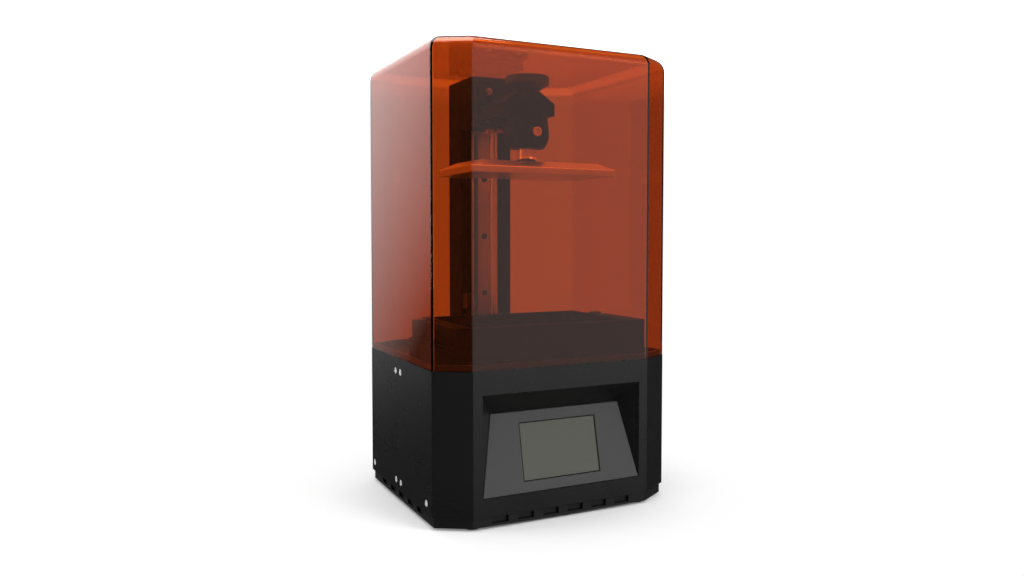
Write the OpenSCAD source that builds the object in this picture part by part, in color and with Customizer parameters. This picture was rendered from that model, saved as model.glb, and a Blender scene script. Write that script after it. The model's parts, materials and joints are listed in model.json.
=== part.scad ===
// Desktop resin printer: a black base with a tilted touch panel, a tower with a screw-driven arm,
// a build platform, a resin vat and a lift-off amber cover. Units are millimetres, +Z is up,
// the front faces -Y and the origin is under the middle of the body, on the table.

/* [Body] */
// Width of the body and cover
body_w = 230; // [215:1:280]
// Depth of the body and cover
body_d = 200; // [190:1:245]
// Corner cut, measured along the front
chamfer_x = 29.5; // [15:0.5:36]
// Corner cut, measured along the sides
chamfer_y = 17.5; // [10:0.5:24]
// Height of the base's top edge
base_top = 132; // [128:1:165]
// Height of the shells' lower edge
shell_bottom = 11; // [8:0.5:14]
// Wall of the moulded shells
wall = 2.6; // [2:0.1:3.5]
// Where the front and rear shells meet, along Y
seam_y = 3; // [-10:0.5:12]
// How far the plinth is set in under the shells
plinth_inset = 2; // [1:0.5:5]
// Radius of a rubber foot
foot_r = 7; // [5:0.5:9]

/* [Cover] */
// Overall height, from the table to the roof of the cover
overall_h = 405; // [400:1:480]
// Wall of the cover
cover_wall = 3; // [2:0.1:4]
// Rounding of the roof's edges
cover_fillet = 12; // [5:0.5:18]

/* [Front panel] */
// Half width of the recess
recess_half_w = 77; // [68:0.5:80]
// Lower edge of the recess
recess_low = 26; // [22:0.5:32]
// Upper edge of the recess
recess_high = 112; // [100:0.5:116]
// Height of the panel's upper edge
panel_high = 93.4; // [86:0.2:96]
// Half width of the panel's upper edge
panel_top_half_w = 63.8; // [56:0.2:68]
// How far the panel's upper edge leans in
panel_lean = 15; // [8:0.5:18]
// Width of the touch screen
screen_w = 74; // [60:0.5:86]
// Height of the touch screen
screen_h = 48; // [36:0.5:52]
// Thickness of the panel
panel_t = 3; // [2:0.1:4]

/* [Light engine] */
// Middle of the display, vat and platform along Y
optic_y = -28; // [-34:0.5:-26]
// Width of the display glass
lcd_w = 144; // [130:1:148]
// Depth of the display glass
lcd_d = 88; // [76:1:90]
// Number of cooling fins
fin_count = 11; // [5:1:15]
// Number of lamps along X
led_columns = 6; // [3:1:8]
// Number of lamps along Y
led_rows = 4; // [2:1:5]

/* [Vat] */
// Width of the vat
vat_w = 188; // [184:1:190]
// Depth of the vat
vat_d = 108; // [100:1:110]
// Height of the vat's rim above the deck
vat_h = 36; // [30:1:44]
// Wall between the vat's rim and its well
vat_wall = 4; // [3:0.5:5]
// Radius of a vat thumbscrew's grip
vat_knob_r = 6.5; // [5:0.5:8]

/* [Z axis] */
// Width of the tower
column_w = 55; // [50:1:62]
// Front face of the tower along Y
column_front = 63; // [60:0.5:66]
// Depth of the tower
column_d = 30; // [28:1:36]
// Depth of the tower's channel, which holds the rail
channel_deep = 14; // [10:1:16]
// Top of the tower's cap
column_top = 397; // [390:1:440]
// Thickness of the tower's cap
cap_t = 7; // [6:0.5:10]
// Width of the linear rail
rail_w = 15; // [12:1:18]
// Height of the linear rail's section
rail_h = 10; // [8:0.5:12]
// Radius of the lead screw
screw_r = 4; // [3:0.5:5]
// Distance from the tower's face to the lead screw
screw_reach = 18; // [15:0.5:22]
// Width across a motor's flats
motor_w = 42.3; // [35:0.1:43]
// Length of the motor's body
motor_h = 40; // [20:1:44]

/* [Platform] */
// Width of the build plate
plate_w = 142; // [100:1:144]
// Depth of the build plate
plate_d = 78; // [60:1:84]
// Underside of the build plate when the arm is up
plate_low = 297; // [280:1:300]
// Radius of the clamping knob
knob_r = 20.4; // [15:0.2:24]
// Radius of the levelling ball
ball_r = 11; // [9:0.5:12]

/* [Rear] */
// Width of the cooling fan
fan_w = 50; // [40:1:50]
// Thickness of the cooling fan
fan_t = 15; // [10:1:20]
// Middle of the fan along X
fan_x = -54; // [-58:1:-50]
// Middle of the fan's height
fan_z = 62; // [50:1:80]
// Where the switch and the inlet sit along X
power_x = 62; // [56:1:66]

/* [Hidden] */

// general clearances
touch_gap = 0.3;      // loose pieces that lie beside each other
slide_gap = 0.1;      // running parts
ball_gap = 0.15;      // between the ball and its seats
thread_gap = 0.05;    // a screw in its thread
pass_gap = 0.4;       // a screw through a clearance hole
round_fn = 48;

half_w = body_w / 2;
half_d = body_d / 2;
corner_len = sqrt(chamfer_x * chamfer_x + chamfer_y * chamfer_y);
corner_reach = (chamfer_y * half_w + chamfer_x * (half_d - chamfer_y)) / corner_len;

// deck and shells
deck_t = 2;
deck_top = base_top - 2;
deck_low = deck_top - deck_t;
ledge_w = 11;
ledge_t = 3;
deck_inset = wall + touch_gap;
tray_t = 1.5;
tray_top = shell_bottom + tray_t;
flange_h = 16;
tray_inset = wall + touch_gap;
side_in = half_w - wall;
seat_inset = cover_wall + 0.5;
seat_w = 2.5;
seat_h = 5;
deck_screw_inset = 10;

// shell screws
m3_r = 1.5;
m3_head_r = 2.75;
m3_head_h = 1.6;
m3_socket_r = 1.2;
m3_socket_deep = 1;
pair_dy = 6.5;
pair_high = 12;
screw_low = 8.5;
end_dy = 72;
tongue_w = 30;
tongue_h = 20;

// plinth and feet
plinth_low = 2;
plinth_w = 5;
pad_r = foot_r + 3;
foot_deep = 5;
foot_x = half_w - chamfer_x - 4;
foot_y = half_d - plinth_inset - pad_r - 1;
slot_w = 15;
slot_pitch = 24;
slot_deep = 3;
slot_low = plinth_low + 2;
slot_top = shell_bottom - 1.5;

// tilted panel
panel_rise = panel_high - recess_low;
panel_angle = atan(panel_lean / panel_rise);
panel_len = sqrt(panel_rise * panel_rise + panel_lean * panel_lean);
bezel_lip = 3;
screen_mid = 34.2;
screen_back_t = 1.5;
screen_sunk = 0.8;
groove = 0.6;
board_t = 1.6;

// display and lamps
carrier_t = 4;
carrier_low = deck_low - carrier_t;
carrier_w = lcd_w + 16;
carrier_d = lcd_d + 8;
window_w = lcd_w + 2;
window_d = lcd_d + 2;
active_w = 130;
active_d = 74;
lcd_low = deck_top;
lcd_t = 1.5;
glass_t = 0.9;
glass_top = lcd_low + lcd_t + glass_t;
sink_w = carrier_w;
sink_d = carrier_d - 4;
sink_base = 5;
sink_top = 62;
fin_h = 26;
fin_t = 1.6;
led_board_top = sink_top + board_t;
shroud_w = lcd_w - 4;
shroud_d = lcd_d - 6;
shroud_t = 1.5;
post_r = 2.5;
post_x = sink_w / 2 - 4;
post_y = sink_d / 2 - 3;
led_r = 3;

// electronics
pcb_w = 120;
pcb_d = 78;
pcb_x = -40;
pcb_y = -38;
pcb_low = tray_top + 6;
standoff_r = 3;
standoff_dx = pcb_w / 2 - 5;
standoff_dy = pcb_d / 2 - 5;

// rear panel pieces
rear_y = half_d;
rear_in = half_d - wall;
fan_bolt = fan_w * 0.4;
fan_open_r = fan_w / 2 - 1.5;
fan_hub_r = 9;
fan_pin_r = 1.5;
vent_w = 36;
vent_h = 3;
vent_pitch = 8;
vent_low = 44;
vent_high = base_top - 26;
fan_blades = 7;
inlet_z = 32;
inlet_r = 5.5;
inlet_bore_r = 2.9;
inlet_pin_r = 1;
inlet_len = 14;
rocker_z = 66;
rocker_w = 12;
rocker_h = 18;
switch_wall = 1.8;
switch_flange = 2;
switch_deep = 16;
rocker_tilt = 8;
rocker_deep = 5;
rocker_pin_r = 1.5;
usb_x = 34;
usb_z = 30;
usb_w = 14.4;
usb_h = 7;
usb_deep = 17;
usb_wall = 0.8;

// tower
column_low = deck_top;
column_body_top = column_top - cap_t;
column_back = column_front + column_d;
column_wall = 3;
post_w = 9;
m4_r = 2;
z_base_t = 4;
z_base_low = deck_low - z_base_t;
z_base_w = 92;
screw_y = column_front - screw_reach;
z_base_front = screw_y - 24;
rail_low = deck_top + 20;
rail_top = column_body_top - touch_gap;
rail_first = 34;
rail_pitch = 58;
rail_back = column_front + channel_deep;
rail_front = rail_back - rail_h;
block_w = 32;
block_len = 40;
block_front = rail_back - 16;
cap_reach = screw_y - 12;
tip_r = 2.5;
tip_len = 4;

// carriage and arm
carriage_w = column_w;
carriage_low = plate_low + 51;
carriage_top = carriage_low + 40;
carriage_front = screw_y - 15;
block_low = carriage_low - 1;
nut_body_r = screw_r + 1.1;
nut_flange_r = 9.5;
nut_flange_t = 3.5;
nut_len = 15;
arm_half_w = 25.2;
arm_low = plate_low + 56;
arm_side_h = 11;
arm_h = 21.5;
arm_top = arm_low + arm_h;
arm_ridge = 10;
arm_nose = 6.7;
arm_wall = 4;
arm_flange = 6;
arm_bolt_x = 16;
arm_bolt_low = arm_low + 3.2;
arm_bolt_high = carriage_top - 7;
m4_head_r = 3.5;
m4_head_h = 4;

// knob, ball joint and plate
stud_r = 4;
knob_gap = touch_gap;
knob_low = arm_top + 6.5;
knob_top = knob_low + 7.5;
knob_neck_r = 9;
knob_cone_r = 12;
knob_edge = 1.2;
housing_r = 20.3;
housing_top_r = 18.5;
housing_low = plate_low + 25.5;
housing_belly = 13.5;
ball_z = housing_low + 9.5;
retainer_top = ball_z - 3;
stud_low = ball_z + ball_r + 2;
mouth_r = 9.3;
mouth_h = 5;
clamp_z = ball_z + 4.5;
clamp_head_r = 4.2;
clamp_head_h = 4.6;
clamp_r = 3;
clamp_seat = optic_y - housing_r + 3.6;
stem_r = 8.5;
stem_flare = 5.5;
plate_edge = 6;
plate_t = 12;
plate_slope = 12;
stem_low = plate_low + plate_t;

// vat
vat_low = glass_top + 0.4;
film_t = 0.2;
vat_top = deck_top + vat_h;
vat_front = optic_y - vat_d / 2;
vat_back = optic_y + vat_d / 2;
well_w = plate_w + 12;
tub_w = well_w + 2 * vat_wall;
ledge_top = vat_low + 12;
grip_t = 5;
grip_front = vat_front + 3;
grip_back = vat_front + 65;
ear_r = 9.5;
ear_y = vat_front + 84;
ear_x = vat_w / 2 - 1.5;
ear_top = vat_low + 17;
vat_stud_r = 2.5;
vat_knob_h = 16.5;
vat_stud_low = deck_low - 6;
film_screw_r = 1.25;
film_head_r = 2;
film_screw_x = well_w / 2 + 4.5;
frame_in_w = well_w + 2;
frame_out_w = well_w + 16;
frame_out_d = vat_d - 2;
frame_in_d = vat_d - 2 * vat_wall + 1;
film_screw_pitch = 22;
film_head_h = 1.4;
insert_r = 4.5;
insert_h = 6;

// end stop and drive
flag_x = -21;
flag_t = 1;
plate_rest = 2.5;
travel = plate_low - vat_low - plate_rest;
switch_top = carriage_low - travel - 2;
motor_top = z_base_low - 36;
bracket_t = 3;
bracket_half = motor_w / 2 + 5;
bracket_back = column_front + post_w / 2 - m4_head_r - 0.5;
motor_bolt = motor_w * 0.3665;
shaft_r = 2.5;
coupler_low = motor_top + bracket_t + 3;
coupler_len = 25;
coupler_r = 9;
shaft_top = coupler_low + coupler_len / 2 - 0.5;

// the deck's screws go through its edge into the ledge
deck_screw_places = [
    [half_w - deck_screw_inset, -48], [half_w - deck_screw_inset, 48],
    [-half_w + deck_screw_inset, -48], [-half_w + deck_screw_inset, 48],
    [62, -half_d + deck_screw_inset], [-62, -half_d + deck_screw_inset],
    [62, half_d - deck_screw_inset], [-62, half_d - deck_screw_inset]
];

// the y and z of every screw in one side of the shells
shell_screw_at = [
    [seam_y - pair_dy, base_top - pair_high], [seam_y + pair_dy, base_top - pair_high],
    [seam_y - pair_dy, shell_bottom + screw_low], [seam_y + pair_dy, shell_bottom + screw_low],
    [seam_y - end_dy, shell_bottom + screw_low], [seam_y + end_dy, shell_bottom + screw_low]
];

// ---------- outlines ----------

// the body's outline, set in evenly by "inset"
function outline(inset) =
    let (
        reach = (corner_reach - inset) * corner_len,
        x = half_w - inset,
        y = half_d - inset,
        x_cut = (reach - chamfer_x * y) / chamfer_y,
        y_cut = (reach - chamfer_y * x) / chamfer_x
    )
    [
        [x_cut, -y], [x, -y_cut], [x, y_cut], [x_cut, y],
        [-x_cut, y], [-x, y_cut], [-x, -y_cut], [-x_cut, -y]
    ];

module slab(inset, low, high)
    translate([0, 0, low])
        linear_extrude(high - low)
            polygon(outline(inset));

module ring(outer, inner, low, high)
    difference() {
        slab(outer, low, high);
        slab(inner, low - 1, high + 1);
    }

// a box given by its lowest and highest corners
module block(low, high)
    translate(low)
        cube([high[0] - low[0], high[1] - low[1], high[2] - low[2]]);

// a rod along Z, X or Y, from one end to the other
module rod(r, x, y, low, high)
    translate([x, y, low])
        cylinder(r = r, h = high - low, $fn = round_fn);

module rod_x(r, low, high, y, z)
    translate([low, y, z])
        rotate([0, 90, 0])
            cylinder(r = r, h = high - low, $fn = round_fn);

module rod_y(r, x, low, high, z)
    translate([x, high, z])
        rotate([90, 0, 0])
            cylinder(r = r, h = high - low, $fn = round_fn);

module both_sides()
    for (side = [0, 1])
        mirror([side, 0, 0])
            children();

// ---------- base ----------

module shell_screw_holes(r)
    both_sides()
        for (at = shell_screw_at)
            rod_x(r, side_in - 6, half_w + 1, at[0], at[1]);

module shell_head_seats()
    both_sides()
        for (at = shell_screw_at)
            rod_x(m3_head_r + touch_gap, half_w - m3_head_h, half_w + 1, at[0], at[1]);

module tray_vents()
    for (x = [-80 : 16 : 80])
        block([x - 2.5, 22, shell_bottom - 1], [x + 2.5, 62, tray_top + 1]);

module bottom_tray() {
    color([0.16, 0.16, 0.17])
    difference() {
        union() {
            slab(tray_inset, shell_bottom, tray_top);
            both_sides()
                block(
                    [side_in - touch_gap - tray_t, -half_d + 22, shell_bottom],
                    [side_in - touch_gap, half_d - 20, shell_bottom + flange_h]
                );
        }
        tray_vents();
        shell_screw_holes(m3_r);
    }
}

module foot_places()
    for (x = [-foot_x, foot_x], y = [-foot_y, foot_y])
        translate([x, y, 0])
            children();

// shallow pockets around the plinth's outer face
module plinth_slots()
    intersection() {
        union() {
            for (x = [-60 : slot_pitch : 60])
                block([x - slot_w / 2, -half_d, slot_low], [x + slot_w / 2, half_d, slot_top]);
            for (y = [-48 : slot_pitch : 48])
                block([-half_w, y - slot_w / 2, slot_low], [half_w, y + slot_w / 2, slot_top]);
        }
        ring(0, plinth_inset + slot_deep, plinth_low, shell_bottom);
    }

module plinth() {
    color([0.13, 0.13, 0.13])
    difference() {
        union() {
            difference() {
                ring(plinth_inset, plinth_inset + plinth_w, plinth_low, shell_bottom);
                plinth_slots();
            }
            foot_places()
                rod(pad_r, 0, 0, plinth_low, shell_bottom);
        }
        foot_places()
            rod(foot_r + touch_gap, 0, 0, plinth_low - 1, foot_deep);
    }
}

module rubber_feet() {
    color([0.08, 0.08, 0.08])
    foot_places()
        rod(foot_r, 0, 0, 0, foot_deep);
}

// side view of the recess, as y and z
function recess_profile(grow) = [
    [-half_d - 1, recess_low - grow],
    [-half_d, recess_low - grow],
    [-half_d + panel_lean + grow, panel_high + grow * 0.3],
    [-half_d, recess_high + grow * 1.6],
    [-half_d - 1, recess_high + grow * 1.6]
];

module recess_space(grow)
    intersection() {
        linear_extrude(base_top)
            polygon([
                [-recess_half_w - grow, -half_d - 1], [recess_half_w + grow, -half_d - 1],
                [recess_half_w + grow, -half_d], [panel_top_half_w + grow, -half_d + panel_lean + grow],
                [-panel_top_half_w - grow, -half_d + panel_lean + grow], [-recess_half_w - grow, -half_d]
            ]);
        translate([-half_w, 0, 0])
            rotate([90, 0, 90])
                linear_extrude(body_w)
                    polygon(recess_profile(grow));
    }

// places something in the tilted panel's plane: x across, y into the body, z up the slope
module on_panel()
    translate([0, -half_d, recess_low])
        rotate([-panel_angle, 0, 0])
            children();

// the panel's outline on its own plane, set in by "inset"
function panel_outline(inset) = [
    [-recess_half_w + inset * 1.25, inset], [recess_half_w - inset * 1.25, inset],
    [panel_top_half_w - inset * 1.1, panel_len - inset], [-panel_top_half_w + inset * 1.1, panel_len - inset]
];

module panel_plate(inset, near, far)
    on_panel()
        translate([0, far, 0])
            rotate([90, 0, 0])
                linear_extrude(far - near)
                    polygon(panel_outline(inset));

module front_half()
    block([-half_w - 1, -half_d - 1, 0], [half_w + 1, seam_y, overall_h]);

module rear_half()
    block([-half_w - 1, seam_y, 0], [half_w + 1, half_d + 1, overall_h]);

module front_shell() {
    color([0.12, 0.12, 0.12])
    difference() {
        union() {
            intersection() {
                union() {
                    ring(0, wall, shell_bottom, base_top);
                    ring(wall / 2, wall + ledge_w, deck_low - ledge_t, deck_low);
                }
                front_half();
            }
            intersection() {
                union() {
                    recess_space(wall);
                    panel_plate(-wall, 0, panel_t + wall);
                }
                slab(0, shell_bottom, deck_low - ledge_t);
            }
        }
        recess_space(0);
        panel_plate(0, -1, panel_t);
        panel_plate(bezel_lip, -1, panel_t + wall + 1);
        shell_screw_holes(m3_r + pass_gap / 2);
        shell_head_seats();
        deck_screw_bores(m3_r, deck_low - ledge_t - 1, deck_low + 1);
    }
}

module rear_slots()
    for (z = [vent_low : vent_pitch : vent_high])
        block([-vent_w / 2, rear_in - 1, z], [vent_w / 2, rear_y + 1, z + vent_h]);

// the rear shell's tongues, which the front shell's upper screws hold
module seam_tongues()
    difference() {
        both_sides()
            block(
                [side_in - tray_t, seam_y - tongue_w / 2, base_top - pair_high - tongue_h / 2 - 2],
                [side_in, seam_y + tongue_w / 2, deck_low - ledge_t - touch_gap]
            );
        shell_screw_holes(m3_r);
    }

module rear_shell() {
    color([0.12, 0.12, 0.12])
    union() {
        seam_tongues();
        rear_cover();
    }
}

module rear_cover()
    difference() {
        intersection() {
            union() {
                ring(0, wall, shell_bottom, base_top);
                ring(wall / 2, wall + ledge_w, deck_low - ledge_t, deck_low);
            }
            rear_half();
        }
        shell_screw_holes(m3_r + pass_gap / 2);
        shell_head_seats();
        deck_screw_bores(m3_r, deck_low - ledge_t - 1, deck_low + 1);
        block(
            [-z_base_w / 2 - touch_gap, 0, deck_low - ledge_t - 1],
            [z_base_w / 2 + touch_gap, column_back + touch_gap, deck_low + 1]
        );
        rear_slots();
        rod_y(fan_open_r, fan_x, rear_in - 1, rear_y + 1, fan_z);
        fan_corners() {
            rod_y(m3_r + pass_gap / 2, 0, rear_in - 1, rear_y + 1, 0);
            rod_y(m3_head_r + touch_gap, 0, rear_y - m3_head_h, rear_y + 1, 0);
        }
        rod_y(inlet_r + slide_gap, power_x, rear_in - 1, rear_y + 1, inlet_z);
        block(
            [power_x - rocker_w / 2 - switch_wall - slide_gap, rear_in - 1,
             rocker_z - rocker_h / 2 - switch_wall - slide_gap],
            [power_x + rocker_w / 2 + switch_wall + slide_gap, rear_y + 1,
             rocker_z + rocker_h / 2 + switch_wall + slide_gap]
        );
        block(
            [usb_x - usb_w / 2 - slide_gap, rear_in - 1, usb_z - usb_h / 2 - slide_gap],
            [usb_x + usb_w / 2 + slide_gap, rear_y + 1, usb_z + usb_h / 2 + slide_gap]
        );
    }

module fan_corners()
    for (x = [-fan_bolt, fan_bolt], z = [-fan_bolt, fan_bolt])
        translate([fan_x + x, 0, fan_z + z])
            children();

// a button-head screw along X, its head flush with the shell's outside
module side_screw(y, z)
    difference() {
        union() {
            rod_x(m3_head_r, half_w - m3_head_h, half_w, y, z);
            rod_x(m3_r - thread_gap, side_in - 3.5, half_w - m3_head_h, y, z);
        }
        translate([half_w - m3_socket_deep, y, z])
            rotate([0, 90, 0])
                cylinder(r = m3_socket_r, h = 2, $fn = 6);
    }

module rear_screw()
    difference() {
        union() {
            rod_y(m3_head_r, 0, rear_y - m3_head_h, rear_y, 0);
            rod_y(m3_r - thread_gap, 0, rear_in - 6, rear_y - m3_head_h, 0);
        }
        translate([0, rear_y + 1, 0])
            rotate([90, 0, 0])
                cylinder(r = m3_socket_r, h = 1 + m3_socket_deep, $fn = 6);
    }

module case_screws() {
    color([0.75, 0.75, 0.77]) {
        both_sides()
            for (at = shell_screw_at)
                side_screw(at[0], at[1]);
        fan_corners()
            rear_screw();
    }
}

module deck_screw_bores(r, low, high)
    for (at = deck_screw_places)
        rod(r, at[0], at[1], low, high);

module deck_plate() {
    color([0.15, 0.15, 0.15])
    difference() {
        union() {
            slab(deck_inset, deck_low, deck_top);
            both_sides()
                rod(insert_r, ear_x, ear_y, deck_low - insert_h, deck_low);
        }
        deck_screw_bores(m3_r + pass_gap / 2, deck_low - 1, deck_top + 1);
        block(
            [-window_w / 2, optic_y - window_d / 2, deck_low - 1],
            [window_w / 2, optic_y + window_d / 2, deck_top + 1]
        );
        rod(screw_r + 3, 0, screw_y, deck_low - 1, deck_top + 1);
        for (x = [-column_w / 2 + post_w / 2, column_w / 2 - post_w / 2],
             y = [column_front + post_w / 2, column_back - post_w / 2])
            rod(m4_r + pass_gap / 2, x, y, deck_low - 1, deck_top + 1);
        both_sides()
            rod(vat_stud_r + thread_gap, ear_x, ear_y, deck_low - insert_h - 1, deck_top + 1);
    }
}

module deck_screws() {
    color([0.55, 0.55, 0.57])
    union() {
        deck_screw_bores(m3_head_r, deck_top, deck_top + m3_head_h);
        deck_screw_bores(m3_r - thread_gap, deck_low - ledge_t, deck_top);
    }
}

module cover_seat() {
    color([0.1, 0.1, 0.1])
    ring(seat_inset, seat_inset + seat_w, deck_top, base_top + seat_h);
}

// ---------- tilted panel ----------

module screen_hole(grow, near, far)
    on_panel()
        block(
            [-screen_w / 2 - grow, near, screen_mid - screen_h / 2 - grow],
            [screen_w / 2 + grow, far, screen_mid + screen_h / 2 + grow]
        );

module panel_bezel() {
    color([0.3, 0.3, 0.3])
    difference() {
        union() {
            panel_plate(touch_gap, 0, panel_t);
            panel_plate(bezel_lip + touch_gap, panel_t, panel_t + wall);
        }
        screen_hole(groove, -1, panel_t + wall + 1);
    }
}

module touch_screen() {
    color([0.36, 0.37, 0.33])
    union() {
        screen_hole(0, screen_sunk, panel_t + wall);
        screen_hole(3, panel_t + wall, panel_t + wall + screen_back_t);
    }
}

// ---------- display and lamps ----------

module around_optic(w, d, low, high)
    block([-w / 2, optic_y - d / 2, low], [w / 2, optic_y + d / 2, high]);

module lcd_frame() {
    color([0.1, 0.1, 0.1])
    difference() {
        union() {
            around_optic(carrier_w, carrier_d, carrier_low, deck_low);
            around_optic(window_w - 2 * touch_gap, window_d - 2 * touch_gap, carrier_low, deck_top);
        }
        around_optic(active_w, active_d, carrier_low - 1, deck_top + 1);
    }
}

module lcd_panel() {
    color([0.08, 0.08, 0.1])
    around_optic(lcd_w, lcd_d, lcd_low, lcd_low + lcd_t);
}

module lcd_glass() {
    color([0.12, 0.13, 0.15])
    around_optic(lcd_w, lcd_d, lcd_low + lcd_t, glass_top);
}

module light_shroud() {
    color([0.6, 0.6, 0.62])
    difference() {
        around_optic(shroud_w, shroud_d, led_board_top, carrier_low);
        around_optic(
            shroud_w - 2 * shroud_t, shroud_d - 2 * shroud_t,
            led_board_top - 1, carrier_low + 1
        );
    }
}

module uv_led_board() {
    color([0.85, 0.85, 0.85])
    around_optic(shroud_w, shroud_d, sink_top, led_board_top);
}

module uv_leds() {
    color([0.8, 0.78, 0.95])
    for (i = [0 : led_columns - 1], j = [0 : led_rows - 1])
        translate([
            (i - (led_columns - 1) / 2) * (shroud_w - 10) / led_columns,
            optic_y + (j - (led_rows - 1) / 2) * (shroud_d - 8) / led_rows,
            led_board_top
        ])
            intersection() {
                sphere(r = led_r, $fn = round_fn);
                cylinder(r = led_r + 1, h = led_r + 1, $fn = round_fn);
            }
}

module heat_sink() {
    color([0.65, 0.66, 0.68])
    union() {
        around_optic(sink_w, sink_d, sink_top - sink_base, sink_top);
        for (i = [0 : fin_count - 1])
            translate([(i - (fin_count - 1) / 2) * (sink_w - 20) / (fin_count - 1), 0, 0])
                around_optic(fin_t, sink_d - 8, sink_top - sink_base - fin_h, sink_top - sink_base);
    }
}

// ---------- electronics ----------

// the main board on its standoffs and the screen's driver board behind the panel
module circuit_boards() {
    color([0.1, 0.3, 0.18]) {
        block(
            [pcb_x - pcb_w / 2, pcb_y - pcb_d / 2, pcb_low],
            [pcb_x + pcb_w / 2, pcb_y + pcb_d / 2, pcb_low + board_t]
        );
        screen_hole(
            5, panel_t + wall + screen_back_t, panel_t + wall + screen_back_t + board_t
        );
    }
}

module board_parts() {
    color([0.12, 0.12, 0.12])
    translate([pcb_x, pcb_y, pcb_low + board_t]) {
        block([-12, -12, 0], [12, 12, 1.6]);
        block([24, -8, 0], [36, 4, 1.4]);
        for (i = [0 : 3])
            block([-50 + i * 18, 26, 0], [-38 + i * 18, 34, 6]);
        for (i = [0 : 2])
            rod(3.2, -44, -24 + i * 10, 0, 6.5);
    }
}

// the lamp block hangs from four posts, and the main board stands on four
module standoffs() {
    color([0.75, 0.65, 0.35]) {
        for (x = [-post_x, post_x], y = [-post_y, post_y])
            rod(post_r, x, optic_y + y, sink_top, carrier_low);
        for (x = [-standoff_dx, standoff_dx], y = [-standoff_dy, standoff_dy])
            rod(standoff_r, pcb_x + x, pcb_y + y, tray_top, pcb_low);
    }
}

// ---------- rear panel ----------

module fan_frame() {
    color([0.12, 0.12, 0.12])
    difference() {
        union() {
            difference() {
                block(
                    [fan_x - fan_w / 2, rear_in - fan_t, fan_z - fan_w / 2],
                    [fan_x + fan_w / 2, rear_in, fan_z + fan_w / 2]
                );
                rod_y(fan_open_r, fan_x, rear_in - fan_t - 1, rear_in + 1, fan_z);
            }
            rod_y(fan_hub_r, fan_x, rear_in - fan_t, rear_in - fan_t + 2, fan_z);
            rod_y(fan_pin_r, fan_x, rear_in - fan_t, rear_in - 4, fan_z);
            for (a = [0, 120, 240])
                translate([fan_x, 0, fan_z])
                    rotate([0, a, 0])
                        block([-1.5, rear_in - fan_t, 0], [1.5, rear_in - fan_t + 2, fan_open_r + 1]);
        }
        fan_corners()
            rod_y(m3_r, 0, rear_in - fan_t - 1, rear_in + 1, 0);
    }
}

module fan_rotor() {
    color([0.1, 0.1, 0.1])
    difference() {
        union() {
            rod_y(fan_hub_r, fan_x, rear_in - fan_t + 2.5, rear_in - 2, fan_z);
            for (i = [0 : fan_blades - 1])
                translate([fan_x, rear_in - fan_t / 2 + 0.5, fan_z])
                    rotate([0, i * 360 / fan_blades, 0])
                        rotate([0, 0, 35])
                            translate([-5, -0.7, fan_hub_r - 1.5])
                                cube([10, 1.4, fan_open_r - fan_hub_r + 0.5]);
        }
        rod_y(fan_pin_r + slide_gap, fan_x, rear_in - fan_t, rear_in - 3.5, fan_z);
    }
}

module fan_guard() {
    color([0.2, 0.2, 0.2])
    union() {
        for (r = [5, 11, 17, fan_open_r - slide_gap])
            difference() {
                rod_y(r, fan_x, rear_in + 0.6, rear_y - 0.4, fan_z);
                rod_y(r - 1.6, fan_x, rear_in, rear_y, fan_z);
            }
        for (a = [45, 135])
            translate([fan_x, 0, fan_z])
                rotate([0, a, 0])
                    block(
                        [-0.9, rear_in + 0.6, -fan_open_r + 1],
                        [0.9, rear_in + 1.6, fan_open_r - 1]
                    );
    }
}

module power_inlet() {
    color([0.1, 0.1, 0.1])
    difference() {
        union() {
            rod_y(inlet_r, power_x, rear_y - inlet_len, rear_y, inlet_z);
            rod_y(inlet_r + 2, power_x, rear_in - 2, rear_in, inlet_z);
        }
        rod_y(inlet_bore_r, power_x, rear_y - inlet_len + 3, rear_y + 1, inlet_z);
        rod_y(inlet_pin_r, power_x, rear_y - inlet_len - 1, rear_y + 1, inlet_z);
    }
}

module inlet_pin() {
    color([0.75, 0.75, 0.77])
    rod_y(inlet_pin_r, power_x, rear_y - inlet_len - 2, rear_y - 1.5, inlet_z);
}

module switch_housing() {
    color([0.1, 0.1, 0.1])
    difference() {
        union() {
            block(
                [power_x - rocker_w / 2 - switch_wall, rear_in - switch_deep,
                 rocker_z - rocker_h / 2 - switch_wall],
                [power_x + rocker_w / 2 + switch_wall, rear_y, rocker_z + rocker_h / 2 + switch_wall]
            );
            block(
                [power_x - rocker_w / 2 - switch_wall - switch_flange, rear_in - 2,
                 rocker_z - rocker_h / 2 - switch_wall - switch_flange],
                [power_x + rocker_w / 2 + switch_wall + switch_flange, rear_in,
                 rocker_z + rocker_h / 2 + switch_wall + switch_flange]
            );
        }
        block(
            [power_x - rocker_w / 2, rear_y - 10, rocker_z - rocker_h / 2],
            [power_x + rocker_w / 2, rear_y + 1, rocker_z + rocker_h / 2]
        );
        rod_x(
            rocker_pin_r + slide_gap, power_x - rocker_w / 2 - 1, power_x + rocker_w / 2 + 1,
            rear_y - rocker_deep, rocker_z
        );
    }
}

module power_rocker() {
    color([0.05, 0.05, 0.05])
    translate([power_x, rear_y - rocker_deep, rocker_z])
        rotate([-rocker_tilt, 0, 0])
            union() {
                translate([-rocker_w / 2 + touch_gap, 0, 0])
                    rotate([90, 0, 90])
                        linear_extrude(rocker_w - 2 * touch_gap)
                            polygon([
                                [-1.5, -2.5], [1, -rocker_h / 2 + 1.2], [3.6, -rocker_h / 2 + 1.2],
                                [2.6, 0], [3.6, rocker_h / 2 - 1.2], [1, rocker_h / 2 - 1.2], [-1.5, 2.5]
                            ]);
                rod_x(rocker_pin_r, -rocker_w / 2 - 0.9, rocker_w / 2 + 0.9, 0, 0);
            }
}

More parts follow.
